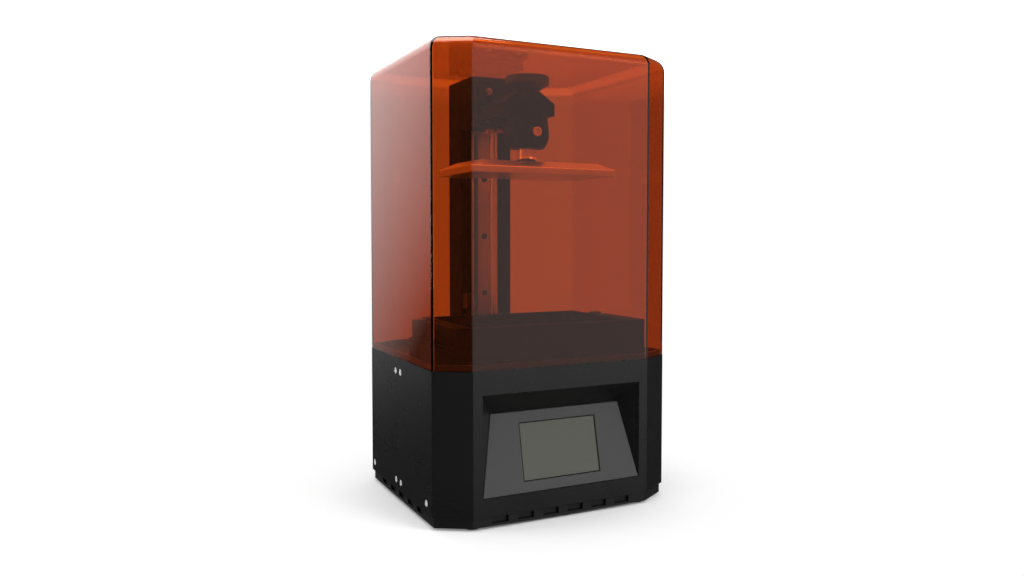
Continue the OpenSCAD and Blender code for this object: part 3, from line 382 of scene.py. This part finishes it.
def amber_acrylic():
    # Cast acrylic, 3 mm, dyed amber to stop ultraviolet light. A longer way through the wall is a
    # deeper orange, and the faces mirror like any clear sheet. Half of the dye is drawn at the faces,
    # so that a slanting wall stays as light as it looks. Lamps reach what is inside through a tinted
    # pass, because light bent by a thin wall lands where it would have.
    material, tree, output = new_material("amber_acrylic")
    halves = [c ** 0.5 for c in colours().amber]
    glass = add(
        tree, "ShaderNodeBsdfPrincipled",
        {"Base Color": rgba(halves), "Roughness": 0.0, "IOR": 1.49, "Transmission Weight": 1.0},
    )
    passed = add(tree, "ShaderNodeBsdfTransparent", {"Color": rgba(halves)})
    path = add(tree, "ShaderNodeLightPath")
    mixed = add(
        tree, "ShaderNodeMixShader",
        {0: path.outputs["Is Shadow Ray"], 1: glass.outputs[0], 2: passed.outputs[0]},
    )
    wall = sizes().cover_wall
    # one crossing of the wall leaves half of the dye's effect: exp(-density * (1 - colour) * wall)
    losses = [-math.log(max(c, 1e-3)) / wall for c in halves]
    deepest = max(losses)
    dye = [1 - loss / deepest for loss in losses]
    volume = add(tree, "ShaderNodeVolumeAbsorption", {"Color": rgba(dye), "Density": deepest})
    tree.links.new(mixed.outputs[0], output.inputs["Surface"])
    tree.links.new(volume.outputs[0], output.inputs["Volume"])
    return material


def clear_film():
    # fluoropolymer film, clear with a faint haze
    material, tree, output = new_material("clear_film")
    place = add(tree, "ShaderNodeTexCoord").outputs["Object"]
    haze = add(
        tree, "ShaderNodeMapRange",
        {"Value": noise(tree, place, 12 * MM), **NOISE_SPAN, "To Min": 0.12, "To Max": 0.2},
    )
    film = add(
        tree, "ShaderNodeBsdfPrincipled",
        {"Base Color": rgba(linear("#e6e6e8")), "Roughness": haze.outputs[0], "Alpha": 0.25},
    )
    tree.links.new(film.outputs[0], output.inputs["Surface"])
    return material


MADE = {}


def finish_of(make):
    """The material that make() makes, made once."""
    if make not in MADE:
        MADE[make] = make()
    return MADE[make]


# ---------- mesh helpers ----------


def piece(name, mesh, node, make):
    """Shows a mesh as one piece in place of its CAD node, on that node's body, with its finish."""
    finished = bpy.data.objects.new(name, mesh)
    bpy.context.scene.collection.objects.link(finished)
    mesh.materials.clear()
    mesh.materials.append(finish_of(make))
    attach(finished, BODY_OF[node])
    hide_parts(node)
    return finished


def shade(finished, smooth_angle):
    """Smooth faces with crisp corners: edges past the angle stay sharp, and large faces lead."""
    mesh = finished.data
    bm = bmesh.new()
    bm.from_mesh(mesh)
    for face in bm.faces:
        face.smooth = True
    for edge in bm.edges:
        edge.smooth = edge.is_manifold and edge.calc_face_angle(0) < math.radians(smooth_angle)
    bm.to_mesh(mesh)
    bm.free()
    weighted = finished.modifiers.new("even_faces", "WEIGHTED_NORMAL")
    weighted.keep_sharp = True


def merged(node):
    """A bmesh copy of a CAD node with its loose triangles joined and its flat faces whole."""
    bm = bmesh.new()
    bm.from_mesh(NODES[node].data)
    bmesh.ops.remove_doubles(bm, verts=bm.verts, dist=0.004 * MM)
    bmesh.ops.dissolve_limit(bm, angle_limit=math.radians(0.4), verts=bm.verts, edges=bm.edges)
    return bm


def round_edges(bm, edges, width, segments):
    bmesh.ops.bevel(
        bm, geom=edges, offset=width, offset_type="OFFSET", segments=segments,
        profile=0.5, affect="EDGES", clamp_overlap=True, material=-1,
    )


def is_corner(edge):
    """Whether an edge runs where two walls, or the roundings over them, face different ways."""
    sides = [face.normal.to_2d() for face in edge.link_faces]
    steep = all(side.length > 0.05 for side in sides)
    return steep and sides[0].angle(sides[1]) > math.radians(10)


def to_mesh(bm, name):
    mesh = bpy.data.meshes.new(name)
    bm.to_mesh(mesh)
    bm.free()
    return mesh


def eased(name, node, make, width, segments=2, angle=30, smooth_angle=32):
    """A CAD node with its sharp edges rounded, as a moulding or a milled part has them."""
    bm = merged(node)
    sharp = [e for e in bm.edges if e.is_manifold and e.calc_face_angle(0) > math.radians(angle)]
    round_edges(bm, sharp, width, segments)
    shade(piece(name, to_mesh(bm, name), node, make), smooth_angle)


def dress(make, *nodes):
    """Gives CAD nodes whose shape is right their finish."""
    for node in nodes:
        NODES[node].data.materials.clear()
        NODES[node].data.materials.append(finish_of(make))


def polygon_face(bm, corners, height):
    """One face through the corners, at a height."""
    return bm.faces.new([bm.verts.new((x, y, height)) for x, y in corners])


def raise_face(bm, face, height):
    """Extrudes a face straight up."""
    made = bmesh.ops.extrude_face_region(bm, geom=[face])["geom"]
    tops = [v for v in made if isinstance(v, bmesh.types.BMVert)]
    bmesh.ops.translate(bm, verts=tops, vec=(0, 0, height))


def cut_outline(half_w, half_d, cut_x, cut_y):
    """The eight corners of a rectangle with cut corners."""
    x, y = half_w - cut_x, half_d - cut_y
    return [
        (x, -half_d), (half_w, -y), (half_w, y), (x, half_d),
        (-x, half_d), (-half_w, y), (-half_w, -y), (-x, -half_d),
    ]


# ---------- pieces ----------


class Step(bpy.types.Operator):
    """Shared options of every step"""
    bl_idname = "resin_printer.step"
    bl_label = "Step"
    bl_options = {"REGISTER", "UNDO"}


class MakeCover(Step):
    """Lift-off cover of amber acrylic with cut corners and a rounded roof"""
    bl_idname = "resin_printer.cover"
    bl_label = "Amber cover"

    def execute(self, context):
        size = sizes()
        low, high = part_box("cover")
        bm = bmesh.new()
        # the inner edges are a little tighter than the outer ones
        for inset, corner_round in ((0, size.mitre_round), (size.cover_wall, size.mitre_round * 0.7)):
            skin = self.skin(size, low, high, inset, corner_round)
            bm.from_mesh(skin)
            bpy.data.meshes.remove(skin)
        bmesh.ops.bridge_loops(bm, edges=[e for e in bm.edges if e.is_boundary])
        bmesh.ops.recalc_face_normals(bm, faces=bm.faces)
        shade(piece("amber_cover", to_mesh(bm, "amber_cover"), "cover", amber_acrylic), 32)
        return {"FINISHED"}

    def skin(self, size, low, high, inset, corner_round):
        """One skin of the cover, set in evenly from the outer one and open at its foot."""
        cut_x, cut_y = size.cover_cut_x, size.cover_cut_y
        # the cut corner of an even inset is a little shorter
        shrink = 1 + inset * (math.hypot(1 / cut_x, 1 / cut_y) - 1 / cut_x - 1 / cut_y)
        top = high.z - inset
        bm = bmesh.new()
        corners = cut_outline(high.x - inset, high.y - inset, cut_x * shrink, cut_y * shrink)
        raise_face(bm, polygon_face(bm, corners, low.z), top - low.z)
        bmesh.ops.recalc_face_normals(bm, faces=bm.faces)
        rim = [e for e in bm.edges if all(v.co.z > top - 0.01 * MM for v in e.verts)]
        round_edges(bm, rim, size.roof_round - inset, 8)
        round_edges(bm, [e for e in bm.edges if is_corner(e)], corner_round, 3)
        underside = [f for f in bm.faces if f.normal.z < -0.9]
        bmesh.ops.delete(bm, geom=underside, context="FACES")
        bmesh.ops.remove_doubles(bm, verts=bm.verts, dist=0.01 * MM)
        if inset:
            bmesh.ops.reverse_faces(bm, faces=bm.faces)
        return to_mesh(bm, "cover_skin")


class MakeShells(Step):
    """Front and rear shells of the base, the plinth under them and the ring that locates the cover"""
    bl_idname = "resin_printer.shells"
    bl_label = "Base shells"

    def execute(self, context):
        width = sizes().shell_round
        eased("front_case", "front_shell", spark_eroded_abs, width)
        eased("rear_case", "rear_shell", spark_eroded_abs, width)
        eased("base_plinth", "plinth", plinth_abs, width * 0.6, 1)
        eased("cover_ring", "cover_seat", spark_eroded_abs, width * 0.5, 1)
        dress(foot_rubber, "rubber_feet")
        dress(powder_coat, "bottom_tray")
        eased("deck", "deck_plate", powder_coat, 0.3 * MM, 1)
        return {"FINISHED"}


class MakeFrontPanel(Step):
    """Tilted front panel and its touch screen"""
    bl_idname = "resin_printer.front_panel"
    bl_label = "Front panel"

    def execute(self, context):
        eased("tilted_panel", "panel_bezel", panel_abs, 0.8 * MM, 3)
        eased("touch_display", "touch_screen", screen_glass, 0.35 * MM, 2)
        return {"FINISHED"}


class MakeScrews(Step):
    """Screws of the case, deck, tower, rail, arm and vat"""
    bl_idname = "resin_printer.screws"
    bl_label = "Screws"

    def execute(self, context):
        # the case screws and the ball clamp screw take zinc whose near-white colour is partly a painted
        # highlight
        eased("case_button_screws", "case_screws", zinc_with_painted_glint, 0.5 * MM, 3, 60)
        eased("deck_button_screws", "deck_screws", black_oxide_steel, 0.4 * MM, 2, 60)
        eased("tower_socket_screws", "tower_screws", black_oxide_steel, 0.3 * MM, 1, 60)
        eased("rail_socket_screws", "rail_screws", black_oxide_steel, 0.3 * MM, 2, 60)
        eased("arm_socket_screws", "arm_screws", zinc_steel, 0.4 * MM, 2, 60)
        eased("ball_clamp_screw", "clamp_screw", zinc_with_painted_glint, 0.5 * MM, 3, 60)
        dress(zinc_steel, "film_screws")
        return {"FINISHED"}


class MakeRear(Step):
    """Fan with its guard, power inlet, rocker switch and USB port on the back"""
    bl_idname = "resin_printer.rear"
    bl_label = "Rear panel"

    def execute(self, context):
        dress(spark_eroded_abs, "fan_frame", "fan_rotor", "limit_switch")
        eased("fan_grille", "fan_guard", spark_eroded_abs, 0.25 * MM, 1, 60)
        eased("inlet_barrel", "power_inlet", polished_abs, 0.3 * MM, 2, 60)
        eased("rocker_frame", "switch_housing", polished_abs, 0.3 * MM, 2, 60)
        eased("rocker_cap", "power_rocker", polished_abs, 0.4 * MM, 3, 30)
        dress(zinc_steel, "inlet_pin")
        eased("usb_shell", "usb_port", zinc_steel, 0.15 * MM, 1, 60)
        return {"FINISHED"}


class MakeTower(Step):
    """Tower of the z axis with its base, cap, linear rail and carriage"""
    bl_idname = "resin_printer.tower"
    bl_label = "Tower"

    def execute(self, context):
        width = sizes().machined_round
        eased("tower_column", "column", anodised_aluminium, width, 2, 40)
        eased("tower_cap", "column_cap", anodised_aluminium, width, 2, 40)
        eased("rail", "linear_rail", ground_steel, 0.3 * MM, 1, 40)
        eased("rail_block", "rail_carriage", ground_steel, 0.4 * MM, 2, 40)
        dress(milled_aluminium, "z_base")
        dress(zinc_steel, "motor_bracket")
        dress(laminated_steel, "stepper_motor")
        dress(ground_steel, "motor_shaft")
        dress(turned_aluminium, "shaft_coupler")
        dress(turned_brass, "lead_nut")
        return {"FINISHED"}


THREAD_DEPTH = 0.75 * MM


class MakeLeadScrew(Step):
    """Lead screw with its real four-start thread"""
    bl_idname = "resin_printer.lead_screw"
    bl_label = "Lead screw"

    def execute(self, context):
        size = sizes()
        low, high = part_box("lead_screw")
        centre = ((low.x + high.x) / 2, (low.y + high.y) / 2)
        crest = (high.x - low.x) / 2
        root = crest - THREAD_DEPTH
        pitch = size.thread_pitch
        lead = pitch * size.thread_starts
        shape = [(root, 0.0), (root, 0.3), (crest, 0.45), (crest, 0.85)]
        turns = math.ceil((high.z - low.z + 2 * lead) / pitch)
        profile = [(r, low.z - lead + (k + part) * pitch) for k in range(turns) for r, part in shape]
        bm = bmesh.new()
        points = [bm.verts.new((centre[0] + r, centre[1], z)) for r, z in profile]
        edges = [bm.edges.new(pair) for pair in zip(points, points[1:])]
        steps = 20
        bmesh.ops.spin(
            bm, geom=[*points, *edges], cent=(*centre, 0), axis=(0, 0, 1), dvec=(0, 0, lead / steps),
            angle=2 * math.pi, steps=steps, use_merge=False, use_duplicate=False,
        )
        bmesh.ops.remove_doubles(bm, verts=bm.verts, dist=0.004 * MM)
        for height, side in ((low.z, (0, 0, -1)), (high.z, (0, 0, 1))):
            cut = bmesh.ops.bisect_plane(
                bm, geom=[*bm.verts, *bm.edges, *bm.faces], plane_co=(0, 0, height),
                plane_no=side, clear_outer=True,
            )["geom_cut"]
            ring = [e for e in cut if isinstance(e, bmesh.types.BMEdge)]
            bmesh.ops.edgeloop_fill(bm, edges=ring)
        bmesh.ops.recalc_face_normals(bm, faces=bm.faces)
        screw = piece("threaded_lead_screw", to_mesh(bm, "threaded_lead_screw"), "lead_screw", rolled_steel)
        shade(screw, 25)
        return {"FINISHED"}


class MakeArm(Step):
    """Arm, carriage plate and ball housing"""
    bl_idname = "resin_printer.arm"
    bl_label = "Arm"

    def execute(self, context):
        width = sizes().machined_round
        eased("arm", "platform_arm", anodised_aluminium, width * 2, 3, 25)
        eased("carriage_plate", "z_carriage", anodised_aluminium, width, 2, 40)
        eased("housing", "ball_housing", anodised_aluminium, width, 2, 35)
        eased("housing_ring", "ball_retainer", anodised_aluminium, width, 2, 35)
        return {"FINISHED"}


class MakeKnob(Step):
    """Fluted knob that clamps the platform"""
    bl_idname = "resin_printer.knob"
    bl_label = "Platform knob"

    def execute(self, context):
        eased("fluted_knob", "platform_knob", polished_abs, 0.6 * MM, 3, 30)
        return {"FINISHED"}


class MakePlatform(Step):
    """Build plate, flared neck and levelling ball"""
    bl_idname = "resin_printer.platform"
    bl_label = "Build platform"

    def execute(self, context):
        eased("plate", "build_plate", milled_aluminium, 0.6 * MM, 2, 10)
        eased("neck", "platform_stem", turned_aluminium, 0.3 * MM, 1, 50, smooth_angle=40)
        dress(ground_steel, "levelling_ball")
        return {"FINISHED"}


class MakeVat(Step):
    """Resin vat with its film, film frame and thumbscrews"""
    bl_idname = "resin_printer.vat"
    bl_label = "Resin vat"

    def execute(self, context):
        eased("vat", "vat_body", anodised_aluminium, sizes().machined_round * 1.6, 2, 30)
        dress(clear_film, "vat_film")
        dress(milled_aluminium, "film_frame")
        eased("thumbscrew_left", "vat_knob_left", polished_abs, 0.7 * MM, 3, 60)
        eased("thumbscrew_right", "vat_knob_right", polished_abs, 0.7 * MM, 3, 60)
        return {"FINISHED"}


class MakeInsides(Step):
    """Display, lamps, heat sink and electronics inside the base"""
    bl_idname = "resin_printer.insides"
    bl_label = "Display and electronics"

    def execute(self, context):
        dress(spark_eroded_abs, "lcd_frame")
        dress(display_film, "lcd_panel")
        dress(display_glass, "lcd_glass")
        dress(milled_aluminium, "light_shroud", "heat_sink")
        dress(white_lacquer, "uv_led_board")
        dress(lamp_silicone, "uv_leds")
        dress(turned_brass, "standoffs")
        dress(solder_mask, "circuit_boards")
        dress(chip_epoxy, "board_parts")
        return {"FINISHED"}


# ---------- stage ----------

CAMERA_PLACE = (-359.3 * MM, -726.7 * MM, 243.4 * MM)
CAMERA_YAW = 26.24           # degrees from +Y towards +X
CAMERA_PITCH = -2.55         # degrees
FOCAL_PIXELS = 847.1         # on a frame 1024 pixels wide
FRAME_PIXELS = 1024
SENSOR = 36.0                # millimetres
SHIFT_Y = -0.0149
MIDDLE = (0, 0, 0.2)         # what the lamps face
FLOOR_RADIUS = 6.0
FLOOR_CLEARS = (0.08, 0.24)  # metres from the middle between which the floor turns white
ROOM_LEVEL = 0.25            # how bright the room is for matt surfaces
MIRROR_LEVEL = 0.03          # the least that a mirror sees
# The two walls that mirrors see: how bright, which way, and the cosines between which each fades in
FRONT_WALL, FRONT_WAY, FRONT_FADE = 0.68, (0.50, -0.87, 0.0), (0.45, 0.85)
BACK_WALL, BACK_WAY, BACK_FADE = 1.6, (-0.3, 0.95, 0.0), (0.5, 0.8)
# The rest are heights, or places across, of the direction looked in
FRONT_FOOT, FRONT_FOOT_SHARE = (-0.31, -0.14), 0.1
BACK_RISE = (-0.225, 0.2)
BACK_ASIDE, BACK_DIMMING = (-0.29, -0.37), -0.58
OVERHEAD, OVERHEAD_LEVEL = (0.15, 0.19), 1.8


def studio_floor():
    """Pale matt floor that keeps the shadow near the object and clears to white further off."""
    material, tree, output = new_material("studio_floor")
    place = add(tree, "ShaderNodeTexCoord").outputs["Object"]
    away = add(tree, "ShaderNodeVectorMath", {0: place}, operation="LENGTH").outputs["Value"]
    clear = add(
        tree, "ShaderNodeMapRange",
        {"Value": away, "From Min": FLOOR_CLEARS[0], "From Max": FLOOR_CLEARS[1]},
        interpolation_type="SMOOTHSTEP",
    ).outputs[0]
    path = add(tree, "ShaderNodeLightPath")
    seen = path.outputs["Is Camera Ray"]
    for way in ("Is Glossy Ray", "Is Transmission Ray"):
        seen = add(tree, "ShaderNodeMath", {0: seen, 1: path.outputs[way]}, operation="MAXIMUM").outputs[0]
    share = add(tree, "ShaderNodeMath", {0: seen, 1: clear}, operation="MULTIPLY")
    paint = add(tree, "ShaderNodeBsdfDiffuse", {"Color": rgba(linear("#f8f8f8"))})
    white = add(tree, "ShaderNodeEmission", {"Color": (1, 1, 1, 1), "Strength": 1.0})
    mixed = add(tree, "ShaderNodeMixShader", {0: share.outputs[0], 1: paint.outputs[0], 2: white.outputs[0]})
    tree.links.new(mixed.outputs[0], output.inputs["Surface"])
    return material


def facing(tree, direction, way, low, high, level):
    """level where the direction runs along way, down to nothing: the two cosines are low and high."""
    cosine = add(tree, "ShaderNodeVectorMath", {0: direction, 1: way}, operation="DOT_PRODUCT")
    return add(
        tree, "ShaderNodeMapRange",
        {"Value": cosine.outputs["Value"], "From Min": low, "From Max": high, "To Min": 0.0, "To Max": level},
        interpolation_type="SMOOTHSTEP",
    ).outputs[0]


def studio_world(scene):
    """White behind the object for the camera and for what is seen through it, an even room for the
    lighting, and dim walls for mirrors: one to the front right and one to the back left that
    brightens upwards and away from the right."""
    world = bpy.data.worlds.new("studio")
    scene.world = world
    world.use_nodes = True
    tree = world.node_tree
    tree.nodes.clear()
    direction = add(tree, "ShaderNodeTexCoord").outputs["Generated"]
    split = add(tree, "ShaderNodeSeparateXYZ", {0: direction})
    # each share follows one coordinate of the direction, from one level to another
    foot, rise, aside, overhead = (
        add(
            tree, "ShaderNodeMapRange",
            {
                "Value": split.outputs[axis], "From Min": start, "From Max": end,
                "To Min": first, "To Max": last,
            },
        ).outputs[0]
        for axis, (start, end), first, last in (
            ("Z", FRONT_FOOT, FRONT_FOOT_SHARE, 1.0), ("Z", BACK_RISE, 0.0, BACK_WALL),
            ("X", BACK_ASIDE, 0.0, BACK_DIMMING), ("Z", OVERHEAD, 1.0, OVERHEAD_LEVEL),
        )
    )
    front = facing(tree, direction, FRONT_WAY, *FRONT_FADE, FRONT_WALL)
    behind = facing(tree, direction, BACK_WAY, *BACK_FADE, 1.0)
    front = add(tree, "ShaderNodeMath", {0: front, 1: foot}, operation="MULTIPLY").outputs[0]
    back = add(tree, "ShaderNodeMath", {0: rise, 1: aside}, operation="ADD").outputs[0]
    back = add(tree, "ShaderNodeMath", {0: back, 1: behind}, operation="MULTIPLY").outputs[0]
    back = add(tree, "ShaderNodeMath", {0: back, 1: 0.0}, operation="MAXIMUM").outputs[0]
    walls = add(tree, "ShaderNodeMath", {0: front, 1: back}, operation="ADD").outputs[0]
    walls = add(tree, "ShaderNodeMath", {0: walls, 1: MIRROR_LEVEL}, operation="ADD").outputs[0]
    path = add(tree, "ShaderNodeLightPath")
    through = add(
        tree, "ShaderNodeMath",
        {0: path.outputs["Is Camera Ray"], 1: path.outputs["Is Transmission Ray"]}, operation="MAXIMUM",
    ).outputs[0]
    mirrored = path.outputs["Is Glossy Ray"]
    level = ROOM_LEVEL
    for share, seen in ((mirrored, walls), (through, overhead)):
        level = add(tree, "ShaderNodeMix", {0: share, 2: level, 3: seen}).outputs[0]
    shine = add(tree, "ShaderNodeBackground", {"Color": (1, 1, 1, 1), "Strength": level})
    output = add(tree, "ShaderNodeOutputWorld")
    tree.links.new(shine.outputs[0], output.inputs["Surface"])


def area_lamp(name, place, size, power):
    """A soft lamp that faces the middle of the object."""
    data = bpy.data.lights.new(name, "AREA")
    data.shape = "RECTANGLE"
    data.size, data.size_y = size
    data.energy = power
    lamp = bpy.data.objects.new(name, data)
    lamp.location = place
    lamp.rotation_euler = (Vector(MIDDLE) - Vector(place)).to_track_quat("-Z", "Y").to_euler()
    bpy.context.scene.collection.objects.link(lamp)
    return lamp


class MakeStage(Step):
    """Pale floor, soft lamps, white backdrop and camera"""
    bl_idname = "resin_printer.stage"
    bl_label = "Stage"

    def execute(self, context):
        scene = context.scene
        bm = bmesh.new()
        bmesh.ops.create_circle(bm, cap_ends=True, radius=FLOOR_RADIUS, segments=64)
        floor = bpy.data.objects.new("studio_floor", to_mesh(bm, "studio_floor"))
        floor.data.materials.append(studio_floor())
        scene.collection.objects.link(floor)
        floor.visible_glossy = False  # or dark plastic would mirror it
        studio_world(scene)
        front_right = area_lamp("front_right_softbox", place=(1.2, -2.0, 2.3), size=(1.4, 1.4), power=44)
        front_right.visible_glossy = False  # or it would draw a white line along the roof's front edge
        area_lamp("top_softbox", place=(-0.2, 0.1, 2.1), size=(1.6, 1.6), power=38)
        area_lamp("left_softbox", place=(-2.1, 0.9, 0.9), size=(1.0, 1.8), power=14)
        data = bpy.data.cameras.new("camera")
        data.sensor_width = SENSOR
        data.lens = FOCAL_PIXELS * SENSOR / FRAME_PIXELS
        data.shift_y = SHIFT_Y
        camera = bpy.data.objects.new("camera", data)
        camera.location = CAMERA_PLACE
        camera.rotation_euler = (math.radians(90 + CAMERA_PITCH), 0, math.radians(-CAMERA_YAW))
        scene.collection.objects.link(camera)
        scene.camera = camera
        scene.view_settings.view_transform = "Standard"
        return {"FINISHED"}


STEPS = (
    MakeStage, MakeCover, MakeShells, MakeFrontPanel, MakeScrews, MakeRear, MakeTower, MakeLeadScrew,
    MakeArm, MakeKnob, MakePlatform, MakeVat, MakeInsides,
)


class PrinterPanel(bpy.types.Panel):
    """Lists the steps that build the printer's looks"""
    bl_idname = "VIEW3D_PT_resin_printer"
    bl_label = "Resin printer"
    bl_space_type = "VIEW_3D"
    bl_region_type = "UI"
    bl_category = "Resin printer"

    def draw(self, context):
        for step in STEPS:
            self.layout.operator(step.bl_idname)
        for group in (sizes(), colours()):
            box = self.layout.box()
            for name in group.bl_rna.properties.keys():
                if name not in ("rna_type", "name"):
                    box.prop(group, name)


CLASSES = (PrinterSizes, PrinterColours, PrinterSettings, *STEPS, PrinterPanel)


def register():
    for cls in CLASSES:
        bpy.utils.register_class(cls)
    bpy.types.Scene.resin_printer = PointerProperty(type=PrinterSettings)


def unregister():
    del bpy.types.Scene.resin_printer
    for cls in reversed(CLASSES):
        bpy.utils.unregister_class(cls)


def main():
    register()
    for step in STEPS:
        group, name = step.bl_idname.split(".")
        getattr(getattr(bpy.ops, group), name)()


if __name__ == "__main__":
    main()
